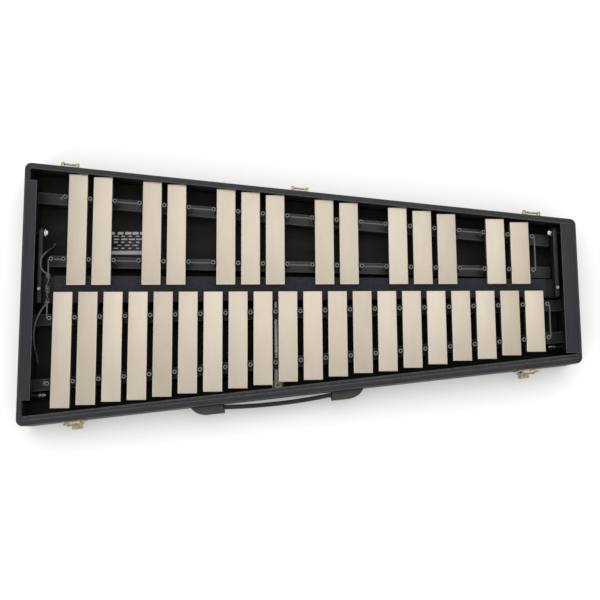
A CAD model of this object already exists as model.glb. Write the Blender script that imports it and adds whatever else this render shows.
# Concert glockenspiel in its case tray, dressed for close views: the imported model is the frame, and each
# section below builds one piece of the instrument, or one group of like pieces, in the order of assembly.
from math import cos, pi, radians, sin

import bmesh
import bpy
from mathutils import Matrix, Vector


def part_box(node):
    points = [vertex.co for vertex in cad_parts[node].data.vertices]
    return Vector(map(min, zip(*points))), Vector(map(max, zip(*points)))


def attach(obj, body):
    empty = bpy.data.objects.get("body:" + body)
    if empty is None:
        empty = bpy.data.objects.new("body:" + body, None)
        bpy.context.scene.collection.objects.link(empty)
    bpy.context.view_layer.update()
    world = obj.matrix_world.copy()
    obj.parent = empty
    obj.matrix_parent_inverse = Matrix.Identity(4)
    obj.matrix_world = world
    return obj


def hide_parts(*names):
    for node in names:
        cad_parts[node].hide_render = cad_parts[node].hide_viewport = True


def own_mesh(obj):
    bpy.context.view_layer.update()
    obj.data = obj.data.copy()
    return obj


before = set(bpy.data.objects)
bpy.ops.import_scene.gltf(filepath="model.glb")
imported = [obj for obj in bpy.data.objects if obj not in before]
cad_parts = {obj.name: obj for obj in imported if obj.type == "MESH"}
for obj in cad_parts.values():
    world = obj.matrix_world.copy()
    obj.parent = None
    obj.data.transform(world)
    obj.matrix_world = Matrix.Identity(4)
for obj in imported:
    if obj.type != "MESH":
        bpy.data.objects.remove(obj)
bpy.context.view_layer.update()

# ---- Camera, studio and table ----
# The camera stands almost straight above the tray, a little to the player's side, as for a catalogue view.
# Two softboxes and a white room give the satin bars their even light; the table top is plain and pale.
camera = bpy.data.objects.new("camera", bpy.data.cameras.new("camera"))
bpy.context.collection.objects.link(camera)
camera.data.lens = 54
camera.data.sensor_width = 36
to_right = Vector((0.9996, -0.0071, 0.0291)).normalized()
ahead = Vector((0.0298, 0.1391, -0.9898)).normalized()
upwards = to_right.cross(ahead)
camera.matrix_world = Matrix.Translation((-0.0457, -0.2106, 1.4606)) @ Matrix(
    (to_right, upwards, -ahead)).transposed().to_4x4()
bpy.context.scene.camera = camera
bpy.context.scene.view_settings.view_transform = "Standard"


def softbox(name, place, size, watts):
    lamp = bpy.data.objects.new(name, bpy.data.lights.new(name, "AREA"))
    lamp.data.shape = "RECTANGLE"
    lamp.data.size, lamp.data.size_y = size
    lamp.data.energy = watts
    lamp.location = place
    lamp.rotation_euler = (-Vector(place)).to_track_quat("-Z", "Y").to_euler()
    bpy.context.collection.objects.link(lamp)


softbox("softbox_over", (0.1, 0.9, 2.2), (2.8, 2.0), 17.5)
softbox("softbox_front", (-1.6, -1.9, 1.5), (1.6, 1.6), 13)
room = bpy.data.worlds.new("white_room")
bpy.context.scene.world = room
room.use_nodes = True
room.node_tree.nodes["Background"].inputs["Color"].default_value = (1, 1, 1, 1)
room.node_tree.nodes["Background"].inputs["Strength"].default_value = 1.02


def colour(code):
    """The linear colour of an sRGB hex code."""
    parts = [int(code[i:i + 2], 16) / 255 for i in (1, 3, 5)]
    return [c / 12.92 if c <= 0.04045 else ((c + 0.055) / 1.055) ** 2.4 for c in parts] + [1]


def finish(name, base, roughness, metallic=0.0, gloss=0.5):
    """A new material with its colour, roughness, metallic and specular level on the shader itself."""
    made = bpy.data.materials.new(name)
    made.use_nodes = True
    shader = made.node_tree.nodes["Principled BSDF"]
    shader.inputs["Base Color"].default_value = colour(base)
    shader.inputs["Roughness"].default_value = roughness
    shader.inputs["Metallic"].default_value = metallic
    shader.inputs["Specular IOR Level"].default_value = gloss
    return made


def add(made, kind, inputs=None, links=None, **settings):
    """Adds a node to a material, with its settings, its inputs' values and its links."""
    node = made.node_tree.nodes.new("ShaderNode" + kind)
    for key, value in settings.items():
        setattr(node, key, value)
    for key, value in (inputs or {}).items():
        node.inputs[key].default_value = value
    for key, value in (links or {}).items():
        made.node_tree.links.new(value, node.inputs[key])
    return node


def drive(made, socket, source):
    """Links a node's output to one input of the material's shader."""
    made.node_tree.links.new(source, made.node_tree.nodes["Principled BSDF"].inputs[socket])


def speckle(made, size, stretch=(1, 1, 1), detail=3.0):
    """Noise with lumps of the given size in metres, stretched along the object's own axes."""
    place = add(made, "TexCoord").outputs["Object"]
    turned = add(made, "Mapping", {"Scale": [1 / size / s for s in stretch]}, {"Vector": place})
    return add(made, "TexNoise", {"Scale": 1.0, "Detail": detail}, {"Vector": turned.outputs[0]}).outputs[0]


def vary(made, socket, pattern, low, high, start=0.3, end=0.7):
    """Blends a colour or a value of the shader by a pattern."""
    if isinstance(low, str):
        ramp = add(made, "ValToRGB", links={"Fac": pattern})
        ramp.color_ramp.elements[0].position, ramp.color_ramp.elements[1].position = start, end
        ramp.color_ramp.elements[0].color, ramp.color_ramp.elements[1].color = colour(low), colour(high)
        drive(made, socket, ramp.outputs["Color"])
    else:
        span = add(made, "MapRange", {"From Min": start, "From Max": end, "To Min": low, "To Max": high},
                   {"Value": pattern})
        drive(made, socket, span.outputs[0])


def emboss(made, pattern, depth, strength=1.0):
    """Raises the surface by a pattern, depth metres high."""
    bump = add(made, "Bump", {"Strength": strength, "Distance": depth}, {"Height": pattern})
    drive(made, "Normal", bump.outputs[0])


# Matt laminate: pale, with the faintest unevenness of a table top.
table_top = finish("matt_laminate_pale", "#f4f4f2", 0.6)
vary(table_top, "Roughness", speckle(table_top, 0.02), 0.55, 0.7)
bpy.ops.object.select_all(action="DESELECT")
bpy.ops.mesh.primitive_plane_add(size=9)
table = bpy.context.object
table.name = "table"
table.data.materials.append(table_top)

# ---- Free ends of the bar cords ----
# Each row's cord is knotted at the spring, and its spare end is left long: it bends over, leans on the
# damper arm or on the end cheek and drops to the tray's floor, cut off bare. Braided nylon, 2.4 mm thick.
cord_d = 0.0024

# Braided nylon: dull grey, with the plaits catching light every millimetre or so.
braid = finish("braided_nylon_grey", "#535455", 0.62, gloss=0.3)
plait = add(braid, "TexWave", {"Scale": 210.0, "Distortion": 1.5, "Detail": 1.0},
            {"Vector": add(braid, "TexCoord").outputs["Object"]}, bands_direction="DIAGONAL")
vary(braid, "Base Color", plait.outputs["Fac"], "#3d3f40", "#696b6b", 0.2, 0.8)
emboss(braid, plait.outputs["Fac"], 0.0002)


def cord_tail(name, route, node):
    line = bpy.data.curves.new(name, "CURVE")
    line.dimensions = "3D"
    line.bevel_depth = cord_d / 2
    line.bevel_resolution = 3
    line.use_fill_caps = True
    line.resolution_u = 6
    spline = line.splines.new("NURBS")
    spline.points.add(len(route) - 1)
    for point, place in zip(spline.points, route):
        point.co = (*place, 1)
    spline.order_u = 3
    spline.use_endpoint_u = True
    piece = bpy.data.objects.new(name, line)
    bpy.context.collection.objects.link(piece)
    line.materials.append(braid)
    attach(piece, "case")
    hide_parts(node)


cord_tail("sharps_cord_tail", [
    (-0.4015, 0.0299, 0.0546), (-0.4034, 0.0312, 0.0552), (-0.406, 0.0336, 0.0568), (-0.4084, 0.0366, 0.0576),
    (-0.4102, 0.0404, 0.0577), (-0.411, 0.045, 0.0577), (-0.4108, 0.0496, 0.0577), (-0.4098, 0.054, 0.0576),
    (-0.4078, 0.058, 0.057), (-0.4059, 0.0616, 0.0544), (-0.4049, 0.065, 0.0498), (-0.4044, 0.0682, 0.0438),
    (-0.404, 0.071, 0.037), (-0.4036, 0.0736, 0.03), (-0.403, 0.0762, 0.0234), (-0.402, 0.0794, 0.0176),
    (-0.4006, 0.083, 0.0142), (-0.3992, 0.0866, 0.0133)], "sharp_cord_tail")
cord_tail("naturals_cord_tail", [
    (-0.4014, -0.0182, 0.0544), (-0.4036, -0.0214, 0.0542), (-0.4068, -0.0256, 0.0536), (-0.4102, -0.0306, 0.0526),
    (-0.4136, -0.0366, 0.0512), (-0.4164, -0.0426, 0.0496), (-0.4186, -0.049, 0.0478), (-0.4204, -0.056, 0.0456),
    (-0.4216, -0.0634, 0.0432), (-0.4222, -0.0706, 0.0402), (-0.4224, -0.0774, 0.0364), (-0.4224, -0.0832, 0.0318),
    (-0.4224, -0.088, 0.0264), (-0.4223, -0.0924, 0.021), (-0.4222, -0.097, 0.016), (-0.4219, -0.1024, 0.0134),
    (-0.4214, -0.1076, 0.0133)], "natural_cord_tail")

# ---- Bar cords ----
# One cord for each row: out along the outer posts, round the last one and back along the inner posts to
# the spring. Stopper knots hold both ends; every knot shows the turns of cord that it is tied from.


def take(obj):
    """Makes obj the only selected and active object."""
    bpy.ops.object.select_all(action="DESELECT")
    obj.select_set(True)
    bpy.context.view_layer.objects.active = obj


def install(piece, body, slot, *nodes):
    """The piece rides on its body, in place of CAD nodes where any are named."""
    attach(piece, body)
    if nodes:
        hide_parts(*nodes)


def break_edges(piece, width, segments=2, worn=None):
    """Rounds the sharp edges of a piece; worn is the finish where they are rubbed."""
    take(piece)
    edges = piece.modifiers.new("edges", "BEVEL")
    edges.width = width
    edges.segments = segments
    edges.limit_method = "ANGLE"
    edges.angle_limit = radians(40)
    if worn:
        piece.data.materials.append(worn)
        edges.material = len(piece.data.materials) - 1
    bpy.ops.object.modifier_apply(modifier="edges")
    bpy.ops.object.shade_smooth_by_angle(angle=radians(38))


def dressed(node, name, made, body, slot, edge=0.0, segments=2, worn=None):
    """A copy of a CAD node in its place, its triangles joined and its edges broken."""
    piece = bpy.data.objects.new(name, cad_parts[node].data.copy())
    bpy.context.collection.objects.link(piece)
    piece.data.materials.clear()
    piece.data.materials.append(made)
    for face in piece.data.polygons:
        face.material_index = 0
    take(piece)
    bpy.ops.mesh.customdata_custom_splitnormals_clear()
    bpy.ops.object.mode_set(mode="EDIT")
    bpy.ops.mesh.select_all(action="SELECT")
    bpy.ops.mesh.remove_doubles(threshold=1e-6)
    bpy.ops.mesh.dissolve_limited(angle_limit=radians(0.6))
    bpy.ops.object.mode_set(mode="OBJECT")
    if edge:
        break_edges(piece, edge, segments, worn)
    else:
        bpy.ops.object.shade_smooth_by_angle(angle=radians(50))
    install(piece, body, slot, node)
    return piece


def join(name, parts):
    """Joins finished parts into one piece, with its object at the origin."""
    bpy.ops.object.select_all(action="DESELECT")
    for part in parts:
        part.select_set(True)
    bpy.context.view_layer.objects.active = parts[0]
    if len(parts) > 1:
        bpy.ops.object.join()
    bpy.ops.object.transform_apply(location=True, rotation=True, scale=True)
    parts[0].name = name
    return parts[0]


def knot_turns(places):
    """Three tight turns of cord round each stopper knot."""
    turns = []
    for place, lean in places:
        for step in (-0.0011, 0.0, 0.0011):
            bpy.ops.object.select_all(action="DESELECT")
            bpy.ops.mesh.primitive_torus_add(major_radius=0.0021, minor_radius=0.0009, major_segments=20,
                                             minor_segments=8, rotation=lean,
                                             location=Vector(place) + Vector((step, step * 0.6, 0)))
            bpy.context.object.data.materials.append(braid)
            turns.append(bpy.context.object)
    piece = join("cord_knots", turns)
    take(piece)
    bpy.ops.object.shade_smooth()
    install(piece, "case", "cord")


for row in ("sharp", "natural"):
    dressed(row + "_cord", row + "s_bar_cord", braid, "case", "cord")
spring_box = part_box("cord_spring")
spring_x = (spring_box[0][0] + spring_box[1][0]) / 2
sharps_cord, naturals_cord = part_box("sharp_cord"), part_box("natural_cord")
knot_r = 0.0026
cord_z = sharps_cord[0][2] + knot_r
knot_turns([((spring_x, spring_box[1][1] + 0.002, cord_z), (radians(90), 0.2, 0)),
            ((spring_x, spring_box[0][1] - 0.002, cord_z), (radians(90), -0.2, 0)),
            ((sharps_cord[0][0] + 0.0209, sharps_cord[1][1] - knot_r, cord_z), (0, radians(80), 0)),
            ((naturals_cord[0][0] + knot_r, naturals_cord[0][1] + knot_r, cord_z), (0, radians(80), 0))])

# ---- Case walls ----
# Plywood walls under one wrapped covering, so that no joint shows at the rounded corners. They narrow
# evenly from the low notes to the high ones, and the covering has the fine pebble grain of case vinyl.
wall_t = 0.006
corner_r = 0.01

# Grained vinyl: charcoal, softly sheened on the tops of the pebbles, scuffed paler in places.
vinyl = finish("grained_vinyl_charcoal", "#1d1d1f", 0.55, gloss=0.25)
grain = add(vinyl, "TexVoronoi", {"Scale": 620.0}, {"Vector": add(vinyl, "TexCoord").outputs["Object"]},
            feature="SMOOTH_F1")
emboss(vinyl, grain.outputs["Distance"], 0.00035, 0.7)
vary(vinyl, "Base Color", speckle(vinyl, 0.03, detail=6.0), "#19191b", "#242427")


def pick(kind, test):
    """In edit mode, selects the vertices, edges or faces whose middle passes a test."""
    bpy.ops.mesh.select_mode(type={"verts": "VERT", "edges": "EDGE", "faces": "FACE"}[kind])
    bpy.ops.mesh.select_all(action="DESELECT")
    mesh = bmesh.from_edit_mesh(bpy.context.object.data)
    for part in getattr(mesh, kind):
        corners = [part] if kind == "verts" else part.verts
        middle = sum((v.co for v in corners), Vector()) / len(corners)
        part.select_set(bool(test(middle, part)))
    bmesh.update_edit_mesh(bpy.context.object.data)


case_low, case_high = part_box("closure_rim")
end_low, end_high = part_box("case_end_walls")
case_l = case_high[0] - case_low[0]
low_end_w, high_end_w = 0.417, 0.23
walls_h = end_high[2] - end_low[2]
bpy.ops.object.select_all(action="DESELECT")
bpy.ops.mesh.primitive_cube_add(size=1, location=(0, 0, end_low[2] + walls_h / 2),
                                scale=(case_l, low_end_w, walls_h))
bpy.ops.object.transform_apply(location=True, rotation=True, scale=True)
walls = bpy.context.object
walls.data.materials.append(vinyl)
bpy.ops.object.mode_set(mode="EDIT")
pick("verts", lambda at, part: at.x > 0)
bpy.ops.transform.resize(value=(1, high_end_w / low_end_w, 1), center_override=(0, 0, 0))
pick("edges", lambda at, part: abs(part.verts[0].co.z - part.verts[1].co.z) > walls_h / 2)
bpy.ops.mesh.bevel(offset=corner_r, segments=10)
pick("faces", lambda at, part: abs(part.normal.z) > 0.9)
bpy.ops.mesh.delete(type="FACE")
bpy.ops.object.mode_set(mode="OBJECT")
board = walls.modifiers.new("board", "SOLIDIFY")
board.thickness = wall_t
board.offset = -1
board.use_even_offset = True
bpy.ops.object.modifier_apply(modifier="board")
break_edges(walls, 0.0004)
walls = join("case_walls", [walls])
install(walls, "case", "case_covering", "case_front_wall", "case_rear_wall", "case_end_walls")

# ---- Case floor and its label ----
# Thin painted plywood boards let in between the walls, with a slot at the front for the pedal's rod. A small
# black plate with pale print is stuck to them; the print is plain dashes and one blank pale bar.

# Painted plywood: flat near-black with a brownish cast, and dust in the corners that never gets wiped.
painted_floor = finish("painted_plywood_black", "#1a1917", 0.72, gloss=0.2)
vary(painted_floor, "Base Color", speckle(painted_floor, 0.018, (3, 1, 1), 8.0), "#161513", "#23221e")
emboss(painted_floor, speckle(painted_floor, 0.0015, (8, 1, 1)), 0.00015)
dressed("case_floor", "tray_floor", painted_floor, "case", "black_paint", 0.0004)

# Printed film: black and satin, its print a flat pale grey.
label_film = finish("printed_film_black", "#161718", 0.4, gloss=0.3)
vary(label_film, "Roughness", speckle(label_film, 0.004), 0.33, 0.5)
label_ink = finish("pale_screen_ink", "#b9bab8", 0.55)
vary(label_ink, "Base Color", speckle(label_ink, 0.002), "#a9aaa8", "#c4c5c3")
dressed("info_plate", "tray_label", label_film, "case", "plate", 0.0002)
label_low, label_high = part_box("info_plate")


def ink_stroke(x, y, long, high):
    """One raised stroke of print, with its corners rounded."""
    bpy.ops.object.select_all(action="DESELECT")
    bpy.ops.mesh.primitive_cube_add(size=1, location=(x + long / 2, y, label_high[2] + 0.00004),
                                    scale=(long, high, 0.00016))
    bpy.ops.object.transform_apply(location=True, rotation=True, scale=True)
    bpy.context.object.data.materials.append(label_ink)
    bpy.ops.object.mode_set(mode="EDIT")
    pick("edges", lambda at, part: abs(part.verts[0].co.z - part.verts[1].co.z) > 0.0001)
    bpy.ops.mesh.bevel(offset=high * 0.3, segments=2)
    bpy.ops.object.mode_set(mode="OBJECT")
    return bpy.context.object


strokes = []
label_w = label_high[0] - label_low[0]
for line, (high, dashes) in enumerate((
        (0.0042, 5), (0.0016, 4), (0.0022, 6), (0.0022, 6), (0.0014, 3), (0.0018, 6))):
    pitch = label_w * 0.86 / 6
    first = label_low[0] + label_w / 2 - pitch * dashes / 2
    for dash in range(dashes):
        share = 0.62 + 0.24 * sin(7.0 * dash + 3.0 * line)
        strokes.append(ink_stroke(first + dash * pitch, label_high[1] - 0.0042 - line * 0.0050, pitch * share, high))
strokes.append(ink_stroke(label_low[0] + 0.007, label_low[1] + 0.0055, label_w - 0.012, 0.0062))
install(join("label_print", strokes), "case", "plate")

# ---- Closure profile ----
# Dark grey plastic extrusion pressed over the top of the walls, with a second lip along the front that the
# lid closes on. Its rounded corners are bent, and its edges are rubbed from years of closing.

# Extruded plastic: mid grey and satin, with fine lines along the run.
rim_plastic = finish("extruded_plastic_grey", "#232325", 0.42, gloss=0.22)
vary(rim_plastic, "Base Color", speckle(rim_plastic, 0.004, (14, 1, 1), 5.0), "#1f1f21", "#29292b")
vary(rim_plastic, "Roughness", speckle(rim_plastic, 0.01), 0.36, 0.52)
rim_rubbed = finish("extruded_plastic_rubbed", "#3a3a3c", 0.4, gloss=0.3)
vary(rim_rubbed, "Base Color", speckle(rim_rubbed, 0.006), "#2f2f31", "#464648")
dressed("closure_rim", "closure_profile", rim_plastic, "case", "rim_profile", 0.0011, 3, rim_rubbed)

# ---- End cheeks ----
# A board at each end with a laminated ledge over the rim. It carries the damper's pivot bolt and the end stud,
# and its edges are worn through to a paler layer.

# Black laminate: bluish, fine grained along the board, with long faint scratches.
laminate = finish("black_laminate", "#1b1d20", 0.46, gloss=0.25)
vary(laminate, "Base Color", speckle(laminate, 0.0022, (1, 22, 1), 6.0), "#181a1d", "#22252a")
emboss(laminate, speckle(laminate, 0.0009, (1, 30, 1)), 0.00008)
laminate_worn = finish("laminate_worn_edge", "#7d8187", 0.5, gloss=0.3)
vary(laminate_worn, "Base Color", speckle(laminate_worn, 0.005), "#6d7176", "#8f9398")
cheeks = dressed("end_cheeks", "end_cheeks_laminated", laminate, "case", "cheek_board", 0.001, 2, laminate_worn)

# Stained board: the cheeks' upright sides, dull black under the ledge.
stained_board = finish("stained_board_black", "#0f1011", 0.7, gloss=0.2)
vary(stained_board, "Base Color", speckle(stained_board, 0.002, (1, 20, 1)), "#0c0d0e", "#151617")
cheeks.data.materials.append(stained_board)
for face in cheeks.data.polygons:
    if face.material_index == 0 and abs(face.normal.z) < 0.3:
        face.material_index = 2

# ---- Rails ----
# Four beech rails on the floor, planed square and painted satin black, with notches cut under the front
# pair for the damper's lever.

# Satin paint on beech: charcoal, the grain just telling along the rail, rubbed paler at the arrises.
rail_paint = finish("satin_paint_on_beech", "#222324", 0.44, gloss=0.3)
vary(rail_paint, "Base Color", speckle(rail_paint, 0.0018, (26, 1, 1), 6.0), "#1d1e1f", "#28292a")
emboss(rail_paint, speckle(rail_paint, 0.0012, (30, 1, 1)), 0.00012)
rail_arris = finish("satin_paint_rubbed", "#45474a", 0.45, gloss=0.3)
vary(rail_arris, "Base Color", speckle(rail_arris, 0.006), "#34363a", "#585b5e")
dressed("sharp_rails", "sharps_rails", rail_paint, "case", "black_paint", 0.0008, 2, rail_arris)
dressed("natural_rails", "naturals_rails", rail_paint, "case", "black_paint", 0.0008, 2, rail_arris)

# ---- Posts ----
# Grey tubing pushed over a stud beside every bar. The cord passes through it, and from above it shows as a
# pale ring round the dark end of the stud.


def clusters(node, gap):
    """The middles, in plan, of a CAD node's separate solids that are at least gap apart."""
    found = []
    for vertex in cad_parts[node].data.vertices:
        if not any((Vector(f[0]) - vertex.co.xy).length < gap for f in found):
            found.append((vertex.co.xy.copy(), []))
        for middle, members in found:
            if (middle - vertex.co.xy).length < gap:
                members.append(vertex.co.xy.copy())
                break
    return [sum(members, Vector((0, 0))) / len(members) for middle, members in found]


sleeve_low, sleeve_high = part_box("post_sleeves")
sleeve_r, sleeve_lip = 0.0034, 0.0004

# Moulded tubing: mid grey rubber, dull, a little paler where it is dusty.
tubing = finish("moulded_tubing_grey", "#3f4142", 0.55, gloss=0.3)
vary(tubing, "Base Color", speckle(tubing, 0.004), "#37393a", "#4b4d4e")
tubing_cut = finish("tubing_cut_end_pale", "#67696b", 0.6, gloss=0.3)
vary(tubing_cut, "Base Color", speckle(tubing_cut, 0.003), "#595b5d", "#757779")
bore_shadow = finish("tubing_bore_dark", "#1f2021", 0.7, gloss=0.2)
vary(bore_shadow, "Roughness", speckle(bore_shadow, 0.002), 0.6, 0.8)
bpy.ops.object.select_all(action="DESELECT")
bpy.ops.mesh.primitive_cylinder_add(vertices=20, radius=sleeve_r,
                                    depth=sleeve_high[2] - sleeve_low[2] - sleeve_lip,
                                    location=(0, 0, (sleeve_low[2] + sleeve_high[2] - sleeve_lip) / 2))
bpy.ops.object.transform_apply(location=True, rotation=True, scale=True)
sleeve = bpy.context.object
for made in (tubing, tubing_cut, bore_shadow):
    sleeve.data.materials.append(made)
bpy.ops.object.mode_set(mode="EDIT")
pick("faces", lambda at, part: part.normal.z > 0.9)
bpy.ops.mesh.inset(thickness=0.0005, depth=sleeve_lip)
bpy.context.object.active_material_index = 1
bpy.ops.object.material_slot_assign()
bpy.ops.mesh.inset(thickness=0.001, depth=0)
bpy.context.object.active_material_index = 2
bpy.ops.object.material_slot_assign()
bpy.ops.mesh.inset(thickness=0.0003, depth=-0.0004)
bpy.ops.mesh.extrude_region_move(TRANSFORM_OT_translate={"value": (0, 0, -0.0085)})
bpy.ops.object.mode_set(mode="OBJECT")
sleeves = []
for place in clusters("post_studs", 0.0035):
    copy = sleeve.copy()
    copy.data = sleeve.data.copy()
    copy.location = (place.x, place.y, 0)
    bpy.context.collection.objects.link(copy)
    sleeves.append(copy)
bpy.data.objects.remove(sleeve)
sleeves = join("post_tubing", sleeves)
take(sleeves)
bpy.ops.object.shade_smooth_by_angle(angle=radians(40))
install(sleeves, "case", "sleeve_rubber", "post_sleeves")

# Zinc plated steel: a cool grey with the bloom of passivation.
zinc = finish("zinc_plated_steel", "#868889", 0.34, 1.0)
vary(zinc, "Base Color", speckle(zinc, 0.003), "#7a7d80", "#969899")
vary(zinc, "Roughness", speckle(zinc, 0.0015), 0.26, 0.44)
dressed("post_studs", "post_studs_zinc", zinc, "case", "bright_steel")

# ---- Bars ----
# Each bar is cut from flat steel, bevelled along its upper edges, cross-drilled for the cord, milled
# underneath to tune it, and nickel plated to a fine satin.

# Satin nickel: warm champagne, brushed lengthwise; every bar took the plating a little differently.
nickel_bar = finish("satin_nickel_champagne", "#b0a698", 0.4, 0.85)
bar_place = add(nickel_bar, "SeparateXYZ", links={"Vector": add(nickel_bar, "TexCoord").outputs["Object"]})
g5_low, g5_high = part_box("bar_g5")
e8_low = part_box("bar_e8")[0]
naturals = 20
bar_pitch = (e8_low[0] - g5_low[0]) / (naturals - 1)
behind = add(nickel_bar, "Math", {1: g5_high[1]}, {0: bar_place.outputs["Y"]}, operation="GREATER_THAN")
along = add(nickel_bar, "Math", {1: (g5_low[0] + g5_high[0]) / 2}, {0: bar_place.outputs["X"]},
            operation="SUBTRACT")
counted = add(nickel_bar, "Math", {1: bar_pitch}, {0: along.outputs[0]}, operation="DIVIDE")
half = add(nickel_bar, "Math", {1: -0.5}, {0: behind.outputs[0]}, operation="MULTIPLY")
shifted = add(nickel_bar, "Math", links={0: counted.outputs[0], 1: half.outputs[0]}, operation="ADD")
index = add(nickel_bar, "Math", links={0: shifted.outputs[0]}, operation="ROUND")
row_mark = add(nickel_bar, "Math", {1: 41.0}, {0: behind.outputs[0]}, operation="MULTIPLY")
seed = add(nickel_bar, "Math", links={0: index.outputs[0], 1: row_mark.outputs[0]}, operation="ADD")
tone = add(nickel_bar, "TexWhiteNoise", links={"W": seed.outputs[0]}, noise_dimensions="1D")
streaks = speckle(nickel_bar, 0.0012, (1, 40, 1), 5.0)
clouds = speckle(nickel_bar, 0.02, (1, 3, 1), 4.0)
mixed = add(nickel_bar, "Mix", {"Factor": 0.5}, {"A": streaks, "B": clouds})
mixed = add(nickel_bar, "Mix", {"Factor": 0.4}, {"A": mixed.outputs["Result"], "B": tone.outputs["Value"]})
vary(nickel_bar, "Base Color", mixed.outputs["Result"], "#a79d8e", "#bab0a2", 0.25, 0.75)
vary(nickel_bar, "Roughness", streaks, 0.34, 0.48)
emboss(nickel_bar, speckle(nickel_bar, 0.0005, (1, 60, 1), 2.0), 0.00002)
nickel_bevel = finish("brushed_nickel_bevel", "#d3cabc", 0.5, 0.3)
vary(nickel_bevel, "Roughness", speckle(nickel_bevel, 0.003), 0.44, 0.56)


def plated_bar(node):
    """A bar with its bevels brushed brighter than its faces."""
    piece = dressed(node, node + "_plated", nickel_bar, "case", "bar_steel", 0.0002, 2)
    piece.data.materials.append(nickel_bevel)
    for face in piece.data.polygons:
        if 0.3 < face.normal.z < 0.97:
            face.material_index = 1


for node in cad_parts:
    if node.startswith("bar"):
        plated_bar(node)

# ---- Spring of the bar cords ----
# A tension spring joins the two cords and keeps them tight. Its few turns stand open, because it is
# stretched, and a hook is bent from each end.


def wire(name, points, thick, made):
    """Round wire through a run of points, as a closed mesh."""
    line = bpy.data.curves.new(name, "CURVE")
    line.dimensions = "3D"
    line.bevel_depth = thick / 2
    line.bevel_resolution = 3
    line.use_fill_caps = True
    spline = line.splines.new("POLY")
    spline.points.add(len(points) - 1)
    for point, place in zip(spline.points, points):
        point.co = (*place, 1)
    piece = bpy.data.objects.new(name, line)
    bpy.context.collection.objects.link(piece)
    line.materials.append(made)
    take(piece)
    bpy.ops.object.convert(target="MESH")
    bpy.ops.object.shade_smooth()
    return bpy.context.object


# Spring steel: grey with a dull oiled sheen.
spring_steel = finish("oiled_spring_steel", "#6d6f72", 0.38, 1.0)
vary(spring_steel, "Base Color", speckle(spring_steel, 0.003), "#606265", "#7d7f82")
vary(spring_steel, "Roughness", speckle(spring_steel, 0.0015), 0.3, 0.46)
coil_r = 0.0045
coil_from, coil_to = -0.001, 0.0105
turns, steps = 5, 20


def hook(knot_end, coil_end, way):
    """From the loop in a knot to the top of the coil's nearest turn."""
    loop = [(spring_x + 0.0018 * sin(a), knot_end - way * 0.0018 * (1 - cos(a)), cord_z)
            for a in [radians(d) for d in range(-150, 121, 30)]]
    return loop + [(spring_x, coil_end + way * 0.0045, cord_z + 0.001),
                   (spring_x, coil_end + way * 0.0012, cord_z + coil_r)]


coil = [(spring_x + coil_r * sin(2 * pi * i / steps), coil_from + (coil_to - coil_from) * i / turns / steps,
         cord_z + coil_r * cos(2 * pi * i / steps)) for i in range(turns * steps + 1)]
route = hook(spring_box[0][1], coil_from, -1) + coil + hook(spring_box[1][1], coil_to, 1)[::-1]
install(wire("cord_tension_spring", route, 0.0013, spring_steel), "case", "bright_steel", "cord_spring")

# ---- Damper board and felt ----
# A painted board on two side arms, faced with dense wool felt. At rest the felt stands close under all the
# bars, and the pedal pulls it down.

# Wool felt: slate with a purple cast, a soft pile that breaks up the light.
wool_felt = finish("wool_felt_slate", "#1d1d22", 0.92, gloss=0.2)
wool_felt.node_tree.nodes["Principled BSDF"].inputs["Sheen Weight"].default_value = 0.15
wool_felt.node_tree.nodes["Principled BSDF"].inputs["Sheen Roughness"].default_value = 0.5
vary(wool_felt, "Base Color", speckle(wool_felt, 0.0022, (2, 1, 1), 8.0), "#1b1b20", "#29292f")
emboss(wool_felt, speckle(wool_felt, 0.0009, detail=8.0), 0.0006, 0.8)
dressed("damper_felt", "damper_felt_strip", wool_felt, "damper", "felt", 0.0009, 3)
dressed("damper_board", "damper_board_painted", painted_floor, "damper", "black_paint", 0.0006)

# ---- Damper arms, pivots and screws ----
# Flat bars lapped over the board's ends and bored for the pivot bolts. Each bolt ends in a bright domed
# nut inside its arm, and pan head screws hold the arms and the lever.

# Blackened steel: soft charcoal sheen, greyer where the coating is thin.
blackened = finish("blackened_steel", "#1f2021", 0.42, 0.4, 0.3)
vary(blackened, "Base Color", speckle(blackened, 0.006, (1, 3, 1), 5.0), "#1b1b1c", "#27282a")
vary(blackened, "Roughness", speckle(blackened, 0.003), 0.36, 0.52)
dressed("damper_arms", "damper_side_arms", blackened, "damper", "dark_steel", 0.0008, 2)
dressed("damper_screws", "damper_pan_screws", zinc, "damper", "dark_steel", 0.0002)

# Bright chrome: mirror smooth with the haze of fingerprints.
chrome = finish("bright_chrome", "#b4b7ba", 0.1, 1.0)
vary(chrome, "Roughness", speckle(chrome, 0.004), 0.06, 0.18)
dressed("damper_pivots", "damper_pivot_bolts", chrome, "case", "chrome_nut", 0.0004, 2)

# ---- Pull lever, coupling and damper springs ----
# A steel strip runs forward from the board under the front rails to the block that the pedal's rod grips.
# Two compression springs under the board push it back up.
dressed("pull_lever", "damper_pull_lever", zinc, "damper", "bright_steel", 0.0004)

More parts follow.
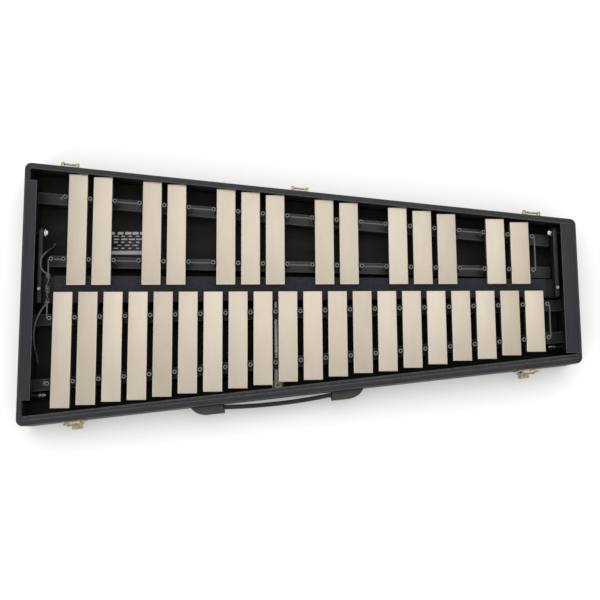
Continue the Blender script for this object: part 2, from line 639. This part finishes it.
# Moulded nylon: warm cream, slightly waxy.
cream_nylon = finish("moulded_nylon_cream", "#a29b84", 0.42)
cream_nylon.node_tree.nodes["Principled BSDF"].inputs["Subsurface Weight"].default_value = 0.08
vary(cream_nylon, "Base Color", speckle(cream_nylon, 0.003), "#96907a", "#ada690")
dressed("pedal_coupling", "rod_coupling_block", cream_nylon, "damper", "coupling_plastic", 0.0007, 3)
spring_low, spring_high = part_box("damper_springs")
damper_coil_r, damper_wire_d = 0.0056, 0.0014
damper_coils = []
for side in (-1, 1):
    centre = Vector((side * (spring_high[0] - damper_coil_r - damper_wire_d / 2),
                     (spring_low[1] + spring_high[1]) / 2, 0))
    rise = spring_high[2] - spring_low[2] - damper_wire_d
    path = []
    for i in range(121):
        turn = i / 20
        ease = min(1, max(0, (turn - 0.8) / 4.4))
        path.append((centre.x + damper_coil_r * cos(2 * pi * turn), centre.y + damper_coil_r * sin(2 * pi * turn),
                     spring_low[2] + damper_wire_d / 2 + rise * ease))
    damper_coils.append(wire("coil", path, damper_wire_d, zinc))
damper_coils = join("damper_return_springs", damper_coils)
install(damper_coils, "case", "bright_steel", "damper_springs")
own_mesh(damper_coils)

# ---- End studs ----
# A stud with two lock nuts in each cheek, ahead of the front rail.
dressed("end_studs", "end_studs_nuts", zinc, "case", "bright_steel", 0.0003)

# ---- Lid hinges and draw latches ----
# Pressed steel fittings, warm nickel plated: the lower halves of three lift-off hinges behind, and in front
# two draw latches, each a plate, a lever and the bail that hooks over the lid's catch.

# Warm nickel: satin yellowish plating, worn brighter on the raised parts.
warm_nickel = finish("warm_nickel_plate", "#8f8870", 0.24, 1.0)
vary(warm_nickel, "Base Color", speckle(warm_nickel, 0.004), "#6e6750", "#b3aa90")
vary(warm_nickel, "Roughness", speckle(warm_nickel, 0.0018), 0.14, 0.32)
dressed("lid_hinges", "lid_hinge_halves", warm_nickel, "case", "nickel_fitting", 0.0003)
dressed("latch_bases", "latch_base_plates", warm_nickel, "case", "nickel_fitting", 0.0003)
for side in ("left", "right"):
    dressed(side + "_latch_lever", side + "_draw_lever", warm_nickel, side + "_lever", "nickel_fitting", 0.0003)
    dressed(side + "_latch_bail", side + "_draw_bail", warm_nickel, side + "_bail", "nickel_fitting", 0.0004)

# ---- Handle ----
# A flat strap between two moulded caps on the front wall. It stands a little off the wall, so that fingers
# find it, and slides out of the caps when the case is lifted.

# Moulded plastic: black with a brownish grey bloom, spark-eroded matt.
cap_plastic = finish("moulded_plastic_black", "#292928", 0.5, gloss=0.35)
vary(cap_plastic, "Base Color", speckle(cap_plastic, 0.012, detail=6.0), "#262624", "#343430")
emboss(cap_plastic, speckle(cap_plastic, 0.0006), 0.00006)
dressed("handle_caps", "handle_end_caps", cap_plastic, "case", "handle_plastic", 0.0016, 4)

# Grained strap: black coated webbing over steel band, softly creased.
strap_skin = finish("grained_strap_black", "#1c1c1c", 0.55, gloss=0.25)
creases = add(strap_skin, "TexVoronoi", {"Scale": 700.0},
              {"Vector": add(strap_skin, "TexCoord").outputs["Object"]}, feature="SMOOTH_F1")
emboss(strap_skin, creases.outputs["Distance"], 0.0003, 0.6)
vary(strap_skin, "Base Color", speckle(strap_skin, 0.01, (4, 1, 1)), "#181819", "#242425")
dressed("handle_strap", "handle_carry_strap", strap_skin, "handle", "handle_skin", 0.0018, 4)

# ---- Feet ----
# Six rubber buttons under the floor.

# Moulded rubber: dead black, powdery.
foot_rubber = finish("moulded_rubber_black", "#1d1d1d", 0.8)
vary(foot_rubber, "Roughness", speckle(foot_rubber, 0.002), 0.7, 0.9)
dressed("rubber_feet", "rubber_feet_buttons", foot_rubber, "case", "foot_rubber", 0.0012, 3)
